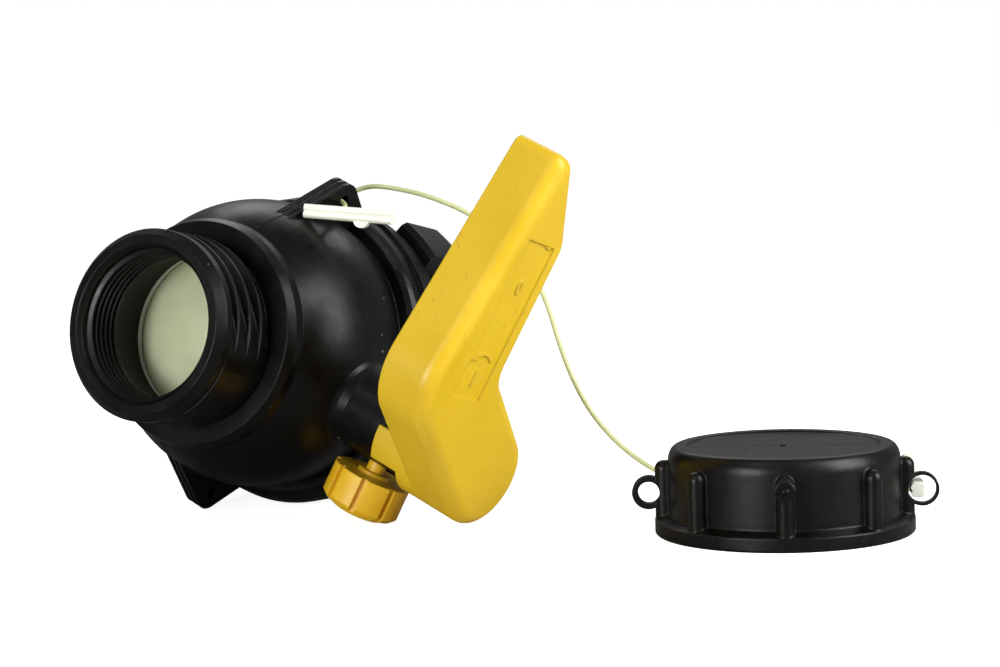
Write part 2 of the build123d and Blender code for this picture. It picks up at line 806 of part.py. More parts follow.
def handle():
    """Hollow lever moulded in one piece with its hub, skirt, locking tab, socket and ribs."""
    outline = handle_outline()
    block = extrude(outline, handle_top_z - handle_bottom_z)
    block = fillet(block.edges().group_by(Axis.Z)[-1], handle_edge_r)
    shape = Pos(0, 0, handle_bottom_z) * block
    hollow = Pos(0, 0, handle_bottom_z) * extrude(offset(outline, -handle_wall), handle_roof_z - handle_bottom_z)
    hub_hollow = disc(hub_skirt_inner_r, handle_bottom_z, handle_roof_z, "Z")
    shape = shape - hollow - hub_hollow + (hollow_ribs() & (hollow - hub_hollow))
    shape += socket_post()
    shape += tube(hub_r, hub_skirt_inner_r, hub_skirt_z, handle_bottom_z, "Z")
    shape += skirt_sector(tab_start_angle, tab_end_angle, tab_bottom_z, hub_skirt_z)
    panel_place = Pos(panel_x, -panel_y, handle_top_z) * Rotation(0, 0, -panel_turn)
    shape -= panel_place * Box(panel_width, panel_length, 2 * panel_depth)
    floor = panel_place * Pos(0, 0, -panel_depth)
    return shape + floor * extrude(panel_marks(), mark_height)


# ---- Locking screw ----
def locking_screw():
    """Lobed knob on a shank that enters the boss and presses on the stem."""
    outline = [
        (lock_head_y, 0),
        (lock_head_y, lock_head_r),
        (lock_end_y - lock_head_chamfer, lock_head_r),
        (lock_end_y, lock_head_r - lock_head_chamfer),
        (lock_end_y, lock_crown_r),
        (lock_end_y + lock_crown_height, lock_crown_r - lock_crown_height),
        (lock_end_y + lock_crown_height, 0),
    ]
    head = turned(outline)
    groove_length = lock_head_length + lock_crown_height + 2 * cut_margin
    groove = Pos(lock_head_y - cut_margin, 0, lock_head_r) * along_x(
        standing_box(2 * lock_groove_depth, lock_groove_width, groove_length))
    for number in range(lock_lobe_count):
        head -= Rotation((number + 0.5) * 360 / lock_lobe_count, 0, 0) * groove
    head += disc(lock_collar_r, lock_head_y - lock_collar_height, lock_head_y)
    shank_start = stem_bore_r + 2 * lock_pad_gap + lock_pad_length
    head += disc(lock_shank_r, shank_start, lock_head_y)
    return Pos(0, 0, lock_z) * Rotation(0, 0, 90) * head


def locking_pad():
    """Loose tip in the boss that the screw presses on the stem."""
    start = stem_bore_r + lock_pad_gap / 2
    return Pos(0, 0, lock_z) * disc(lock_shank_r, start, start + lock_pad_length, "Y")


# ---- Dust cap, standing on its open side at its own origin ----
def cap_rib(turn):
    """Grip rib with a round outer face and a domed top."""
    root_r = cap_body_r - cap_rib_root
    round_r = cap_rib_width / 2
    round_x = cap_rib_outer_r - round_r
    dome_z = cap_rib_top_z - round_r
    slab = Rectangle(round_x - root_r, cap_rib_width, align=(Align.MIN, Align.CENTER))
    face = Pos(root_r, 0) * slab + Pos(round_x, 0) * Circle(round_r)
    rib = Pos(0, 0, cap_rib_bottom_z) * extrude(face, dome_z - cap_rib_bottom_z)
    rib += Pos(round_x, 0, dome_z) * Sphere(round_r)
    rib += Pos(0, 0, dome_z) * disc(round_r, root_r, round_x)
    return Rotation(0, 0, turn) * rib


def cap_eye(place_x):
    """Flat ring that stands out from a rib."""
    half = cap_eye_thickness / 2
    return Pos(place_x, 0, cap_eye_z) * disc(cap_eye_outer_r, -half, half, "Y")


def cap_top_lines():
    """Two thin grooves across the top with a gap at the middle, to be cut."""
    length = cap_dish_r - cap_line_gap
    line = standing_box(length, cap_line_width, cap_height)
    return [Pos(side * (cap_line_gap + length / 2), 0, cap_dish_z - cap_line_depth) * line for side in (-1, 1)]


def dust_cap():
    """Screw cap: rim, ribbed side, dished top, two eyes and an inner thread."""
    outline = [
        (cap_height, cap_top_r),
        (cap_height, cap_dish_r + cap_dish_depth),
        (cap_dish_z, cap_dish_r),
        (cap_dish_z, 0),
        (cap_roof_z, 0),
        (cap_roof_z, cap_major_r),
        (cap_mouth_chamfer, cap_major_r),
        (0, cap_major_r + cap_mouth_chamfer),
        (0, cap_rim_r - cap_mouth_chamfer / 2),
        (cap_mouth_chamfer / 2, cap_rim_r),
        (cap_rim_height, cap_rim_r),
        (cap_rim_height + cap_rim_slope, cap_body_r),
        (cap_shoulder_z, cap_body_r),
    ]
    shoulder = EllipticalCenterArc((cap_shoulder_z, cap_top_r), cap_shoulder_height, cap_shoulder_width)
    shape = upright(revolve(make_face(Polyline(*outline) + shoulder), Axis.X))
    for number in range(cap_rib_count):
        shape += cap_rib(number * 360 / cap_rib_count)
    for place_x, hole_r in ((-left_eye_x, left_eye_hole_r), (right_eye_x, right_eye_hole_r)):
        shape += cap_eye(place_x)
        shape -= Pos(place_x, 0, cap_eye_z) * disc(hole_r, -cap_rib_width, cap_rib_width, "Y")
    gate = disc(cap_rib_gate_r, -cap_rib_outer_r - cap_rib_gate_length, -cap_body_r, "Y")
    shape += Pos(0, 0, cap_rib_gate_z) * gate
    shape += disc(cap_gate_r, (cap_roof_z + cap_dish_z) / 2, cap_dish_z + cap_gate_height, "Z")
    for line in cap_top_lines():
        shape -= line
    end = cap_roof_z - cap_gasket_thickness - cap_thread_end_gap
    ridge = thread_ridge(cap_major_r, cap_minor_r, spout_pitch, cap_thread_start_z, end, spout_base_width,
                         spout_crest_width)
    return shape + ridge


def cap_gasket():
    """Flat ring under the cap's roof."""
    outer_r = cap_major_r - cap_gasket_clearance
    return tube(outer_r, outer_r - cap_gasket_width, cap_roof_z - cap_gasket_thickness, cap_roof_z, "Z")


# ---- Toggles and tether ----
def toggle_place(middle, along, face):
    """Frame of a toggle: X along the bar, Z the way its grooved face looks."""
    direction = Vector(*along).normalized()
    look = Vector(*face)
    return Plane(origin=middle, x_dir=direction, z_dir=look - direction * look.dot(direction))


def toggle(place, neck_offset, neck_end):
    """Bar with a groove along its faces, a gate disc, and a neck that tapers to the tether."""
    section = Plane.YZ * fillet(Rectangle(toggle_height, toggle_depth).vertices(), toggle_corner_r)
    bar = extrude(section, toggle_length / 2, both=True)
    groove_side = toggle_groove_width / math.sqrt(2)
    for side in (-1, 1):
        groove = Rotation(45, 0, 0) * Box(2 * toggle_length, groove_side, groove_side)
        bar -= Pos(0, 0, side * toggle_depth / 2) * groove
    gate_half = toggle_depth / 2 - toggle_gate_inset
    gate = disc(toggle_gate_r, -gate_half, gate_half, "Z")
    bar += Pos(toggle_gate_offset, -toggle_gate_drop, 0) * gate
    foot = place.from_local_coords(Vector(neck_offset, 0, 0))
    reach = Vector(*neck_end) - foot
    length = reach.length - toggle_neck_gap
    neck = Cone(toggle_neck_r, tether_r, length, align=(Align.CENTER, Align.CENTER, Align.MIN))
    return place.location * bar + Plane(origin=foot, z_dir=reach).location * neck


def corner_radii(points):
    """Radius at each corner: the largest that the shorter run beside it leaves room for."""
    radii = []
    for before, corner, after in zip(points, points[1:], points[2:]):
        arriving = Vector(*corner) - Vector(*before)
        leaving = Vector(*after) - Vector(*corner)
        half_turn = math.radians(arriving.get_angle(leaving) / 2)
        radii.append(0.45 * min(arriving.length, leaving.length) / math.tan(half_turn))
    return radii


def tether():
    """Thin cord from the neck of the valve's toggle to the neck of the cap's."""
    path = FilletPolyline(*tether_route, radius=corner_radii(tether_route))
    start = Plane(origin=path @ 0, z_dir=path % 0)
    return sweep(start * Circle(tether_r), path)


# ---- Laying the valve down ----
def lowest(centre, radius, axis, down):
    """Lowest point of a circle that faces along an axis."""
    flat = down - axis * down.dot(axis)
    return centre + flat.normalized() * radius


def lying_plane():
    """Plane whose X is the flow and Z the stem, for a valve resting on ear, knob and rear ring."""
    up = Vector(0.2, -0.9, -0.4).normalized()
    along = Vector(1, 0, 0)
    lock_end_r = lock_head_r - lock_head_chamfer
    for _ in range(8):
        ear_point = lowest(Vector(ear_x, ear_hole_y, ear_thickness / 2), ear_apex_r, Vector(0, 0, 1), -up)
        knob_point = lowest(Vector(0, lock_end_y, lock_z), lock_end_r, Vector(0, 1, 0), -up)
        ring_point = lowest(Vector(rear_ring_back_x + rear_ring_edge, 0, 0), rear_ring_back_r, along, -up)
        normal = (knob_point - ear_point).cross(ring_point - ear_point).normalized()
        up = normal if normal.dot(up) > 0 else -normal
    level = (along - up * along.dot(up)).normalized()
    side = up.cross(level)
    heading = math.radians(flow_heading)
    shared_x = level * math.cos(heading) - side * math.sin(heading)
    shared_y = up.cross(shared_x)
    flow = (shared_x.X, shared_y.X, up.X)
    stem_way = (shared_x.Z, shared_y.Z, up.Z)
    return Plane(origin=(0, 0, -ear_point.dot(up)), x_dir=flow, z_dir=stem_way)


def valve_pieces():
    """Every piece of the valve by node name, in the valve's own frame."""
    pieces = {
        "valve_body": valve_body(),
        "ball": ball(),
        "front_seat": seat(1),
        "rear_seat": seat(-1),
        "tail_piece": tail_piece(),
        "tail_seal": tail_seal(),
        "stop_ring": stop_ring(),
        "coupling_nut": coupling_nut(),
        "tank_gasket": tank_gasket(),
        "stem": stem(),
        "stem_washer": stem_washer(),
        "stem_clip": stem_clip(),
        "handle": handle(),
        "locking_screw": locking_screw(),
        "locking_pad": locking_pad(),
    }
    for number, name in enumerate(("stem_seal_lower", "stem_seal_upper")):
        pieces[name] = stem_seal(number)
    return pieces


def placed_pieces():
    """Every piece in the shared frame, and the plane in which the valve lies."""
    lying = lying_plane()
    placed = {name: lying.location * shape for name, shape in valve_pieces().items()}
    standing = Pos(cap_place_x, cap_place_y, 0) * Rotation(0, 0, cap_turn)
    placed["dust_cap"] = standing * dust_cap()
    placed["cap_gasket"] = standing * cap_gasket()
    box = Compound(children=[Compound(shape.wrapped) for shape in placed.values()]).bounding_box()
    shift = Vector(-box.center().X, -box.center().Y, -box.min.Z)
    placed = {name: Pos(*shift) * shape for name, shape in placed.items()}
    valve_plane = Plane(origin=lying.origin + shift, x_dir=lying.x_dir, z_dir=lying.z_dir)
    return placed, valve_plane, shift


pieces, valve_plane, shift = placed_pieces()
pieces["tether"] = tether()
pieces["toggle_valve"] = toggle(toggle_place(valve_toggle_middle, valve_toggle_along, valve_toggle_face),
                                valve_toggle_neck, tether_route[0])
pieces["toggle_cap"] = toggle(toggle_place(cap_toggle_middle, cap_toggle_along, cap_toggle_face),
                              cap_toggle_neck, tether_route[-1])

os.makedirs("parts", exist_ok=True)
for name, shape in pieces.items():
    export_step(shape, f"parts/{name}.step")
print("tether corner radii", [round(radius, 1) for radius in corner_radii(tether_route)])
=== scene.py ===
import json
import math

import bmesh
import bpy
from mathutils import Matrix, Vector, noise


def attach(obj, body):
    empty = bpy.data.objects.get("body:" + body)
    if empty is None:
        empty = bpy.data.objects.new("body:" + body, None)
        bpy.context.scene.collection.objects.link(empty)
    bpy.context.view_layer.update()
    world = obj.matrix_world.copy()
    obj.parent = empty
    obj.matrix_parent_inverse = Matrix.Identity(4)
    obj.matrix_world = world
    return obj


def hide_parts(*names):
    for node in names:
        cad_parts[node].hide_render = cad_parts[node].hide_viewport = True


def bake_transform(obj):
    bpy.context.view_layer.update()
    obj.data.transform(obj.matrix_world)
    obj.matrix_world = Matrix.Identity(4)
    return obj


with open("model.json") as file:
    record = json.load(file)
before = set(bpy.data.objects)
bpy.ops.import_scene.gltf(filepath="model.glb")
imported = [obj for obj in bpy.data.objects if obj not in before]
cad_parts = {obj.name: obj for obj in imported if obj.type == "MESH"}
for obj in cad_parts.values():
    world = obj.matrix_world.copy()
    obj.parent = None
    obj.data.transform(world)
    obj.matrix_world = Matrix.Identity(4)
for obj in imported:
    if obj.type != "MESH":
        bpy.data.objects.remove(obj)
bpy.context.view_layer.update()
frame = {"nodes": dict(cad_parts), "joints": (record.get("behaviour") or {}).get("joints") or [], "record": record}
nodes = frame["nodes"]


# ---- Camera ----
# A long lens close to table height, square to the row that the valve and its cap make, and tilted
# down by about five degrees.
look = Vector((-0.0029, 0.9957, -0.093)).normalized()
rise = Vector((0.0309, 0.0931, 0.9952))
across = look.cross(rise).normalized()
rise = across.cross(look)
camera_stand = (0.00397, -0.79828, 0.132)
focal_length_mm, sensor_width_mm = 90.0, 36.0
lens = bpy.data.cameras.new("camera")
lens.lens = focal_length_mm
lens.sensor_width = sensor_width_mm
camera = bpy.data.objects.new("camera", lens)
camera_axes = Matrix((across, rise, -look)).transposed().to_4x4()
camera.matrix_world = Matrix.Translation(camera_stand) @ camera_axes
bpy.context.collection.objects.link(camera)
bpy.context.scene.camera = camera


# ---- Tether ----
# A thin cord and its two toggle bars, of natural, uncoloured polyethylene: ivory, waxy and a little
# see-through, and yellower in the thin cord. It leaves the valve's toggle, goes up through the ear
# and falls behind the handle to the table, round the far side of the cap to the cap's toggle.
def linear(code):
    """Linear colour of an sRGB hex value."""
    parts = [int(code[i:i + 2], 16) / 255 for i in (1, 3, 5)]
    return [p / 12.92 if p <= 0.04045 else ((p + 0.055) / 1.055) ** 2.4 for p in parts] + [1.0]


def add(tree, kind, values=None, **settings):
    """Adds a node with its settings. A value is a number or colour for an input, or a socket."""
    node = tree.nodes.new("ShaderNode" + kind)
    for name, setting in settings.items():
        setattr(node, name, setting)
    for name, value in (values or {}).items():
        if isinstance(value, bpy.types.NodeSocket):
            tree.links.new(value, node.inputs[name])
        else:
            node.inputs[name].default_value = value
    return node


def blank_material(name):
    """New material with its tree, its shader and the object's own coordinates."""
    material = bpy.data.materials.new(name)
    material.use_nodes = True
    tree = material.node_tree
    return material, tree, tree.nodes["Principled BSDF"], add(tree, "TexCoord").outputs["Object"]


def per_mm(size):
    """Pattern scale for a feature of this size in millimetres."""
    return 1000.0 / size


def shades(tree, factor, *stops):
    """Colour ramp from (place, hex colour) stops."""
    ramp = add(tree, "ValToRGB", {"Fac": factor})
    points = ramp.color_ramp.elements
    while len(points) < len(stops):
        points.new(0.5)
    for point, (place, code) in zip(points, stops):
        point.position = place
        point.color = linear(code)
    return ramp.outputs["Color"]


def spread(tree, factor, low, high, start=0.0, end=1.0):
    """Number that runs from low to high as the factor goes from start to end."""
    values = {"Value": factor, "From Min": start, "From Max": end, "To Min": low, "To Max": high}
    return add(tree, "MapRange", values).outputs["Result"]


tether_route = [
    (-0.0490, 0.0035, 0.0982),
    (-0.0452, 0.0138, 0.0989),
    (-0.0543, 0.0199, 0.1038),
    (-0.0563, 0.0273, 0.1016),
    (-0.0502, 0.0331, 0.1008),
    (-0.0411, 0.0320, 0.1053),
    (-0.0312, 0.0290, 0.1040),
    (-0.0199, 0.0233, 0.1012),
    (-0.0070, 0.0208, 0.0954),
    (0.0038, 0.0178, 0.0875),
    (0.0118, 0.0153, 0.0775),
    (0.0173, 0.0118, 0.0660),
    (0.0207, 0.0090, 0.0525),
    (0.0251, 0.0058, 0.0400),
    (0.0311, 0.0030, 0.0290),
    (0.0398, -0.0005, 0.0192),
    (0.0500, -0.0042, 0.0120),
    (0.0618, -0.0067, 0.0065),
    (0.0748, -0.0077, 0.0032),
    (0.0888, -0.0075, 0.0020),
    (0.1023, -0.0097, 0.0018),
    (0.1160, -0.0189, 0.0022),
    (0.1243, -0.0306, 0.0040),
    (0.1260, -0.03915, 0.0102),
]
tether_thickness, tether_length = 0.0016, 0.2857
line = bpy.data.curves.new("tether_line", "CURVE")
line.dimensions = "3D"
line.resolution_u = 16
spline = line.splines.new("NURBS")
spline.points.add(len(tether_route) - 1)
for point, place in zip(spline.points, tether_route):
    point.co = (*place, 1.0)
spline.order_u = 3
spline.use_endpoint_u = True
laid_line = bpy.data.objects.new("tether_line", line)
tether_path = [point.co.copy() for point in bpy.data.meshes.new_from_object(laid_line).vertices]
line.bevel_depth = tether_thickness / 2
line.bevel_resolution = 6
line.use_fill_caps = True
tether_mesh = bpy.data.meshes.new_from_object(laid_line)
bpy.data.objects.remove(laid_line)
bm = bmesh.new()
bm.from_mesh(tether_mesh)
bmesh.ops.remove_doubles(bm, verts=bm.verts, dist=1e-6)
bmesh.ops.recalc_face_normals(bm, faces=bm.faces)
bm.to_mesh(tether_mesh)
bm.free()
tether_mesh.shade_smooth()
tether = bpy.data.objects.new("tether_cord", tether_mesh)
bpy.context.collection.objects.link(tether)

def natural_polyethylene(name, deep, pale):
    """Waxy uncoloured plastic with soft clouds and small dents."""
    material, tree, shader, spot = blank_material(name)
    cloud = add(tree, "TexNoise", {"Vector": spot, "Scale": per_mm(6.0), "Detail": 3.0}).outputs["Fac"]
    wax = add(tree, "TexNoise", {"Vector": spot, "Scale": per_mm(0.5), "Detail": 2.0}).outputs["Fac"]
    tree.links.new(shades(tree, cloud, (0.3, deep), (0.7, pale)), shader.inputs["Base Color"])
    tree.links.new(spread(tree, cloud, 0.34, 0.5), shader.inputs["Roughness"])
    dents = add(tree, "Bump", {"Height": wax, "Strength": 0.35, "Distance": 0.00008})
    tree.links.new(dents.outputs["Normal"], shader.inputs["Normal"])
    shader.inputs["IOR"].default_value = 1.51
    shader.inputs["Subsurface Weight"].default_value = 0.25
    shader.inputs["Subsurface Radius"].default_value = (0.002, 0.002, 0.0014)
    shader.inputs["Subsurface Scale"].default_value = 1.0
    return material


tether_mesh.materials.append(natural_polyethylene("drawn natural polyethylene", "#C6CB94", "#D0D5A0"))
ivory = natural_polyethylene("natural moulded polyethylene", "#F2F3E2", "#FAFAEE")

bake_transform(tether)
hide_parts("tether")
toggles = [nodes["toggle_valve"], nodes["toggle_cap"]]
for toggle in toggles:
    toggle.data.materials.clear()
    toggle.data.materials.append(ivory)


# ---- Table and lights ----
# A lit white table that runs out of sight, a large soft box on the right, a smaller low one on the
# left, a weak one high on the left and a broad one behind. The room is dim, so black stays black.
bm = bmesh.new()
table_half_width = 6.0
bmesh.ops.create_grid(bm, x_segments=1, y_segments=1, size=table_half_width)
table_mesh = bpy.data.meshes.new("table")
bm.to_mesh(table_mesh)
bm.free()
table = bpy.data.objects.new("table", table_mesh)
bpy.context.collection.objects.link(table)
paper, tree, shader, spot = blank_material("white table paper")
rays = add(tree, "LightPath")
tone = {"Factor": rays.outputs["Is Glossy Ray"], "A": linear("#DEDEDC"), "B": linear("#8E8E8C")}
tree.links.new(add(tree, "Mix", tone, data_type="RGBA").outputs["Result"], shader.inputs["Base Color"])
shader.inputs["Roughness"].default_value = 0.9
shader.inputs["Specular IOR Level"].default_value = 0.0
lit = add(tree, "BsdfDiffuse", {"Color": linear("#F8F8F7")})
table_glow = 0.86
glow = add(tree, "Emission", {"Color": linear("#FFFFFF"), "Strength": table_glow})
both = add(tree, "AddShader")
tree.links.new(lit.outputs["BSDF"], both.inputs[0])
tree.links.new(glow.outputs["Emission"], both.inputs[1])
pick = add(tree, "MixShader", {"Fac": rays.outputs["Is Camera Ray"]})
tree.links.new(shader.outputs["BSDF"], pick.inputs[1])
tree.links.new(both.outputs["Shader"], pick.inputs[2])
tree.links.new(pick.outputs["Shader"], tree.nodes["Material Output"].inputs["Surface"])
table_mesh.materials.append(paper)

world = bpy.data.worlds.new("studio")
world.use_nodes = True
bpy.context.scene.world = world
tree = world.node_tree
seen = add(tree, "Background", {"Color": linear("#FFFFFF"), "Strength": 1.0})
room_light = 0.2
felt = add(tree, "Background", {"Color": linear("#F4F6F8"), "Strength": room_light})
rays = add(tree, "LightPath")
choice = add(tree, "MixShader", {"Fac": rays.outputs["Is Camera Ray"]})
tree.links.new(felt.outputs["Background"], choice.inputs[1])
tree.links.new(seen.outputs["Background"], choice.inputs[2])
tree.links.new(choice.outputs["Shader"], tree.nodes["World Output"].inputs["Surface"])

for name, place, aim, size, power in (
    ("box_right", (0.66, -0.36, 0.4), (0.0, 0.0, 0.05), (0.46, 0.62), 8.4),
    ("box_left", (-0.5, -0.75, 0.14), (-0.02, -0.02, 0.05), (0.35, 0.3), 4.4),
    ("box_top_left", (-0.3, -0.55, 0.85), (-0.03, 0.0, 0.05), (0.4, 0.35), 0.9),
    ("box_behind", (0.1, 0.7, 0.7), (0.0, 0.0, 0.05), (0.9, 0.4), 2.2),
):
    lamp = bpy.data.lights.new(name, "AREA")
    lamp.shape = "RECTANGLE"
    lamp.size, lamp.size_y = size
    lamp.energy = power
    holder = bpy.data.objects.new(name, lamp)
    way = Vector(aim) - Vector(place)
    holder.matrix_world = Matrix.Translation(place) @ way.to_track_quat("-Z", "Y").to_matrix().to_4x4()
    bpy.context.collection.objects.link(holder)
bpy.context.scene.view_settings.view_transform = "Standard"


# ---- Valve body, tail and coupling nut ----
# Carbon-black polypropylene from a steel mould: satin, with a fine spark-eroded grain, faint flow
# clouds and ripples, a few pale nicks from handling, and edges greyer and smoother: partly rubbed, partly a
# painted highlight.
joints = {joint["name"]: joint for joint in frame["joints"]}
flow = Vector(joints["nut_turn"]["axis"]).normalized()
stem_way = Vector(joints["handle_turn"]["axis"]).normalized()
nut_spot = Vector(joints["nut_turn"]["pos_m"])
centre = nut_spot + flow * (Vector(joints["handle_turn"]["pos_m"]) - nut_spot).dot(flow)
valve_axes = Matrix((flow, stem_way.cross(flow), stem_way)).transposed().to_4x4()
valve = Matrix.Translation(centre) @ valve_axes


def coat(node_names, material):
    """Gives CAD nodes this material alone."""
    for node_name in node_names:
        nodes[node_name].data.materials.clear()
        nodes[node_name].data.materials.append(material)


def black_polypropylene(name, rounding):
    """Moulded black plastic whose edges look rounded by this radius in metres."""
    material, tree, shader, spot = blank_material(name)
    cloud = add(tree, "TexNoise", {"Vector": spot, "Scale": per_mm(17.0), "Detail": 4.0,
                                   "Roughness": 0.6}).outputs["Fac"]
    grain = add(tree, "TexNoise", {"Vector": spot, "Scale": per_mm(0.45), "Detail": 2.0}).outputs["Fac"]
    ripple = add(tree, "TexNoise", {"Vector": spot, "Scale": per_mm(3.0), "Detail": 2.0}).outputs["Fac"]

    # Nicks are small discs at the middle of some cells, only where the clouds are dense.
    cell = add(tree, "TexVoronoi", {"Vector": spot, "Scale": per_mm(5.0), "Randomness": 1.0})
    chance = add(tree, "SeparateColor", {"Color": cell.outputs["Color"]}).outputs["Red"]
    nick_size = spread(tree, chance, 0.0, 0.11, 0.5, 1.0)
    inside = add(tree, "Math", {0: cell.outputs["Distance"], 1: nick_size}, operation="LESS_THAN")
    handled = spread(tree, cloud, 0.0, 1.0, 0.48, 0.62)
    nick = add(tree, "Math", {0: inside.outputs["Value"], 1: handled}, operation="MULTIPLY")
    nick = nick.outputs["Value"]
    black = shades(tree, cloud, (0.3, "#050505"), (0.72, "#0C0C0A"))
    nicked = add(tree, "Mix", {"Factor": nick, "A": black, "B": linear("#74746C")}, data_type="RGBA")
    satin = spread(tree, cloud, 0.2, 0.34, 0.3, 0.7)
    mottled = add(tree, "Math", {0: ripple, 1: 0.15, 2: satin}, operation="MULTIPLY_ADD")
    dulled = add(tree, "Math", {0: nick, 1: 0.25, 2: mottled.outputs["Value"]},
                 operation="MULTIPLY_ADD")

    # An edge is where the rounded surface turns away from the flat one. Its lighter grey is partly rubbing and
    # partly a painted highlight, patchy along it.
    soft = add(tree, "Bevel", {"Radius": rounding}, samples=6).outputs["Normal"]
    face = add(tree, "NewGeometry").outputs["Normal"]
    bend = add(tree, "VectorMath", {0: soft, 1: face}, operation="DOT_PRODUCT").outputs["Value"]
    edge = spread(tree, bend, 0.8, 0.0, 0.8, 0.99)
    patchy = spread(tree, ripple, 0.0, 1.0, 0.38, 0.6)
    rubbed_and_highlit = add(tree, "Math", {0: edge, 1: patchy}, operation="MULTIPLY").outputs["Value"]
    # Painted highlight with real wear: the edges are mixed towards a lighter grey. Part of it is rubbing and part
    # of it stands for light caught along the edges.
    worn_and_highlit_colour = add(tree, "Mix", {"Factor": rubbed_and_highlit, "A": nicked.outputs["Result"],
                                "B": linear("#2C2C29")}, data_type="RGBA")
    polished = add(tree, "Math", {0: rubbed_and_highlit, 1: -0.12, 2: dulled.outputs["Value"]},
                   operation="MULTIPLY_ADD")
    wave = add(tree, "Bump", {"Height": ripple, "Strength": 0.6, "Distance": 0.00008, "Normal": soft})
    skin = add(tree, "Bump", {"Height": grain, "Strength": 0.45, "Distance": 0.00003,
                              "Normal": wave.outputs["Normal"]})
    tree.links.new(worn_and_highlit_colour.outputs["Result"], shader.inputs["Base Color"])
    tree.links.new(polished.outputs["Value"], shader.inputs["Roughness"])
    tree.links.new(skin.outputs["Normal"], shader.inputs["Normal"])
    shader.inputs["IOR"].default_value = 1.49
    shader.inputs["Specular IOR Level"].default_value = 0.27
    return material


body_black = black_polypropylene("moulded black polypropylene", 0.0005)
coat(("valve_body", "tail_piece", "coupling_nut"), body_black)


# ---- Mould parting line on the dome ----
# Where the two halves of the body's mould met, a hair of flash runs over the dome from the foot of each
# ear to the shoulder ring. It is part of the moulding, trimmed but never quite flush.
def moulded_on(bm, name, body_name, material):
    """Closes a mesh built at its place into a smooth piece of a body."""
    bmesh.ops.recalc_face_normals(bm, faces=bm.faces)
    mesh = bpy.data.meshes.new(name)
    bm.to_mesh(mesh)
    bm.free()
    mesh.materials.append(material)
    mesh.shade_smooth()
    piece = bpy.data.objects.new(name, mesh)
    bpy.context.collection.objects.link(piece)
    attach(piece, body_name)
    return piece


dome_r = 0.0469
flash_half_width, flash_height, flash_root = 0.00032, 0.00018, 0.0002
ear_foot_angle, shoulder_angle = math.radians(22.5), math.radians(38.2)
bm = bmesh.new()
for side in (-1, 1):
    start = Vector((math.sin(ear_foot_angle), side * math.cos(ear_foot_angle), 0.0))
    foot = start * (dome_r - flash_root)
    corners = [foot + Vector((0, 0, end * flash_half_width)) for end in (-1, 1)]
    corners.append(start * (dome_r + flash_height))
    section = bm.faces.new([bm.verts.new(corner) for corner in corners])
    bmesh.ops.spin(bm, geom=[*section.verts, *section.edges, section], cent=(0, 0, 0),
                   axis=(0, 0, -side), angle=shoulder_angle - ear_foot_angle, steps=14)
bmesh.ops.transform(bm, matrix=valve, verts=bm.verts)
moulded_on(bm, "parting_line", "body", body_black)


# ---- Ball and seats ----
# The ball is natural high-density polyethylene, milky and faintly green, turned and tumbled to a dull
# skin. Its two seats are white fluoropolymer, turned, smooth and waxy.
milk, tree, shader, spot = blank_material("natural moulded ball plastic")
cloud = add(tree, "TexNoise", {"Vector": spot, "Scale": per_mm(14.0), "Detail": 3.0}).outputs["Fac"]
grain = add(tree, "TexNoise", {"Vector": spot, "Scale": per_mm(0.6), "Detail": 2.0}).outputs["Fac"]
tree.links.new(shades(tree, cloud, (0.3, "#C8CFA4"), (0.7, "#D4DAB6")), shader.inputs["Base Color"])
tree.links.new(spread(tree, cloud, 0.4, 0.5, 0.3, 0.7), shader.inputs["Roughness"])
skin = add(tree, "Bump", {"Height": grain, "Strength": 0.3, "Distance": 0.00003})
tree.links.new(skin.outputs["Normal"], shader.inputs["Normal"])
shader.inputs["IOR"].default_value = 1.53
shader.inputs["Subsurface Weight"].default_value = 0.3
shader.inputs["Subsurface Radius"].default_value = (0.003, 0.003, 0.002)
shader.inputs["Subsurface Scale"].default_value = 1.0
coat(("ball",), milk)

seat_white, tree, shader, spot = blank_material("turned white fluoropolymer")
cloud = add(tree, "TexNoise", {"Vector": spot, "Scale": per_mm(9.0), "Detail": 2.0}).outputs["Fac"]
tree.links.new(shades(tree, cloud, (0.3, "#E4E3DC"), (0.7, "#F1F0EA")), shader.inputs["Base Color"])
tree.links.new(spread(tree, cloud, 0.3, 0.42), shader.inputs["Roughness"])
ring_mark = add(tree, "TexNoise", {"Vector": spot, "Scale": per_mm(0.3), "Detail": 1.0}).outputs["Fac"]
skin = add(tree, "Bump", {"Height": ring_mark, "Strength": 0.25, "Distance": 0.00002})
tree.links.new(skin.outputs["Normal"], shader.inputs["Normal"])
shader.inputs["IOR"].default_value = 1.38
coat(("front_seat", "rear_seat", "stem_washer"), seat_white)


# ---- Stem, clip and rings ----
# The stem is dark glass-filled nylon, matt with faint fibres. The clip and the tail's stop ring are
# spring steel, drawn and bent, and the gaskets and O-rings are black rubber from a blasted mould.
stem_grey, tree, shader, spot = blank_material("glass-filled nylon")
fibre = add(tree, "TexNoise", {"Vector": spot, "Scale": per_mm(0.4), "Detail": 3.0}).outputs["Fac"]
tree.links.new(shades(tree, fibre, (0.35, "#2B2B2C"), (0.7, "#3A3A3A")), shader.inputs["Base Color"])
tree.links.new(spread(tree, fibre, 0.45, 0.6), shader.inputs["Roughness"])
skin = add(tree, "Bump", {"Height": fibre, "Strength": 0.4, "Distance": 0.00004})
tree.links.new(skin.outputs["Normal"], shader.inputs["Normal"])
shader.inputs["IOR"].default_value = 1.53
coat(("stem", "locking_pad"), stem_grey)

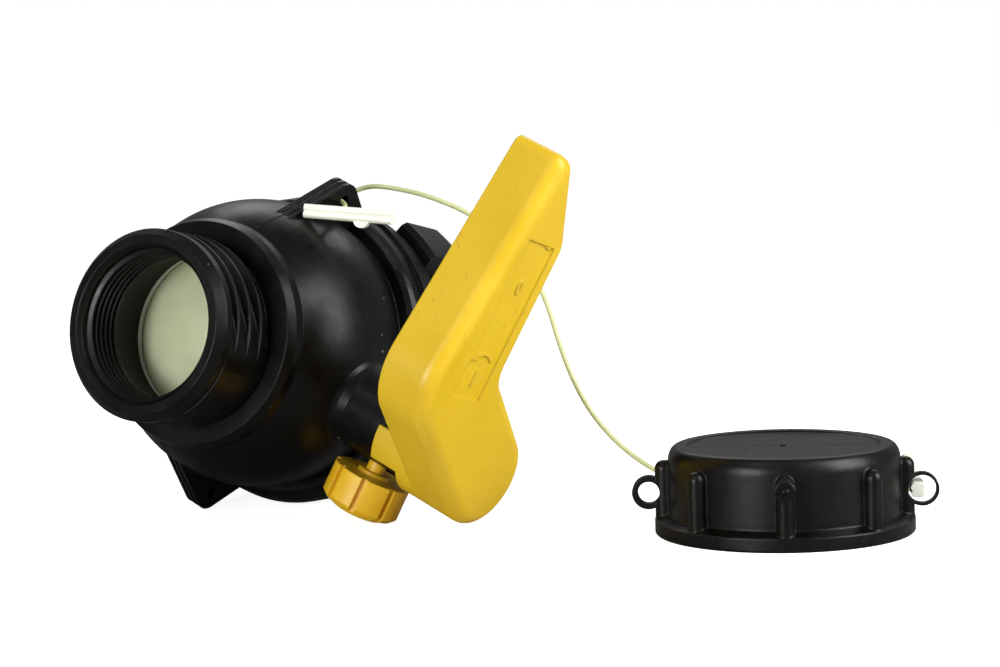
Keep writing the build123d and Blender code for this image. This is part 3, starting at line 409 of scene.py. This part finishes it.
spring_steel, tree, shader, spot = blank_material("drawn spring steel")
haze = add(tree, "TexNoise", {"Vector": spot, "Scale": per_mm(2.0), "Detail": 3.0}).outputs["Fac"]
drawn = add(tree, "TexNoise", {"Vector": spot, "Scale": per_mm(0.15), "Detail": 1.0}).outputs["Fac"]
tree.links.new(shades(tree, haze, (0.3, "#9C9C98"), (0.7, "#BDBCB6")), shader.inputs["Base Color"])
tree.links.new(spread(tree, haze, 0.24, 0.38), shader.inputs["Roughness"])
skin = add(tree, "Bump", {"Height": drawn, "Strength": 0.3, "Distance": 0.00001})
tree.links.new(skin.outputs["Normal"], shader.inputs["Normal"])
shader.inputs["Metallic"].default_value = 1.0
coat(("stem_clip", "stop_ring"), spring_steel)

rubber, tree, shader, spot = blank_material("moulded black rubber")
bloom = add(tree, "TexNoise", {"Vector": spot, "Scale": per_mm(7.0), "Detail": 3.0}).outputs["Fac"]
grit = add(tree, "TexNoise", {"Vector": spot, "Scale": per_mm(0.35), "Detail": 2.0}).outputs["Fac"]
tree.links.new(shades(tree, bloom, (0.3, "#1A1A1B"), (0.75, "#2A2A2A")), shader.inputs["Base Color"])
tree.links.new(spread(tree, bloom, 0.62, 0.78), shader.inputs["Roughness"])
skin = add(tree, "Bump", {"Height": grit, "Strength": 0.5, "Distance": 0.00005})
tree.links.new(skin.outputs["Normal"], shader.inputs["Normal"])
shader.inputs["IOR"].default_value = 1.52
coat(("tail_seal", "tank_gasket", "cap_gasket", "stem_seal_lower", "stem_seal_upper"), rubber)


# ---- Handle ----
# The lever is yellow polypropylene, moulded hollow from below with a plain satin skin. Its colour is
# even, a little deeper in clouds, with a few short fine scratches in patches.
yellow, tree, shader, spot = blank_material("moulded yellow polypropylene")
cloud = add(tree, "TexNoise", {"Vector": spot, "Scale": per_mm(22.0), "Detail": 3.0,
                               "Roughness": 0.55}).outputs["Fac"]
grain = add(tree, "TexNoise", {"Vector": spot, "Scale": per_mm(0.5), "Detail": 2.0}).outputs["Fac"]
clean = shades(tree, cloud, (0.3, "#D5AF14"), (0.7, "#DDB81E"))
drag = add(tree, "Mapping", {"Vector": spot, "Rotation": (0.5, 0.0, 0.3), "Scale": (1.0, 1.0, 0.07)})
streak = add(tree, "TexNoise", {"Vector": drag.outputs["Vector"], "Scale": per_mm(1.4),
                                "Detail": 1.0}).outputs["Fac"]
pushed = spread(tree, cloud, 0.0, 1.0, 0.5, 0.58)
thin = spread(tree, streak, 0.0, 0.45, 0.68, 0.73)
scratch = add(tree, "Math", {0: thin, 1: pushed}, operation="MULTIPLY").outputs["Value"]
scuffed = add(tree, "Mix", {"Factor": scratch, "A": clean, "B": linear("#A9820F")}, data_type="RGBA")
tree.links.new(scuffed.outputs["Result"], shader.inputs["Base Color"])
satin = spread(tree, cloud, 0.36, 0.48, 0.3, 0.7)
dulled = add(tree, "Math", {0: scratch, 1: 0.3, 2: satin}, operation="MULTIPLY_ADD").outputs["Value"]
tree.links.new(dulled, shader.inputs["Roughness"])
soft = add(tree, "Bevel", {"Radius": 0.0006}, samples=6)
skin = add(tree, "Bump", {"Height": grain, "Strength": 0.4, "Distance": 0.00003,
                          "Normal": soft.outputs["Normal"]})
tree.links.new(skin.outputs["Normal"], shader.inputs["Normal"])
shader.inputs["IOR"].default_value = 1.49
shader.inputs["Subsurface Weight"].default_value = 0.12
shader.inputs["Subsurface Radius"].default_value = (0.003, 0.0018, 0.0003)
shader.inputs["Subsurface Scale"].default_value = 1.0
coat(("handle",), yellow)


# ---- Locking screw ----
# The knob and its screw are one moulding of the same plastic in a warmer yellow, a little smoother
# than the lever.
amber, tree, shader, spot = blank_material("moulded amber polypropylene")
cloud = add(tree, "TexNoise", {"Vector": spot, "Scale": per_mm(10.0), "Detail": 3.0}).outputs["Fac"]
grain = add(tree, "TexNoise", {"Vector": spot, "Scale": per_mm(0.5), "Detail": 2.0}).outputs["Fac"]
tree.links.new(shades(tree, cloud, (0.3, "#ECB91A"), (0.7, "#F4C52A")), shader.inputs["Base Color"])
tree.links.new(spread(tree, cloud, 0.34, 0.46, 0.3, 0.7), shader.inputs["Roughness"])
soft = add(tree, "Bevel", {"Radius": 0.0006}, samples=6)
skin = add(tree, "Bump", {"Height": grain, "Strength": 0.35, "Distance": 0.00003,
                          "Normal": soft.outputs["Normal"]})
tree.links.new(skin.outputs["Normal"], shader.inputs["Normal"])
shader.inputs["IOR"].default_value = 1.49
shader.inputs["Subsurface Weight"].default_value = 0.12
shader.inputs["Subsurface Radius"].default_value = (0.003, 0.0015, 0.0003)
shader.inputs["Subsurface Scale"].default_value = 1.0
coat(("locking_screw",), amber)


# ---- Dust cap ----
# The same black polypropylene as the body, in one moulding with its ribs, rim and eyes. Its edges are
# softer than the body's, so they catch broader highlights, and the painted highlight along them is broader too.
cap_black = black_polypropylene("moulded cap polypropylene", 0.0009)
coat(("dust_cap",), cap_black)


# ---- Torn gate on the cap ----
# The cap was filled through its front rib. The gate was twisted off and left a low torn stub in the
# middle of its round pad.
mounts = {mount["name"]: Vector(mount["pos_m"]) for mount in frame["record"]["mounts"]}
cap_centre = mounts["cap_thread"].copy()
cap_centre.z = 0.0
left_eye = mounts["cap_left_eye"] - cap_centre
left_eye.z = 0.0
front = Vector((0, 0, 1)).cross(left_eye).normalized()
gate_reach, gate_height = 0.0399, 0.018
stub_r, tear_depth, tear_mm, stub_flattening = 0.0013, 0.35, 0.9, (1.0, 0.45, 0.85)
bm = bmesh.new()
bmesh.ops.create_icosphere(bm, subdivisions=3, radius=stub_r)
for vert in bm.verts:
    vert.co *= 1.0 + tear_depth * noise.noise(vert.co * per_mm(tear_mm))
bmesh.ops.scale(bm, vec=stub_flattening, verts=bm.verts)
facing = Matrix((left_eye.normalized(), front, (0, 0, 1))).transposed().to_4x4()
spot_on_rib = cap_centre + front * gate_reach + Vector((0, 0, gate_height))
bmesh.ops.transform(bm, matrix=Matrix.Translation(spot_on_rib) @ facing, verts=bm.verts)
moulded_on(bm, "cap_gate_stub", "cap", cap_black)
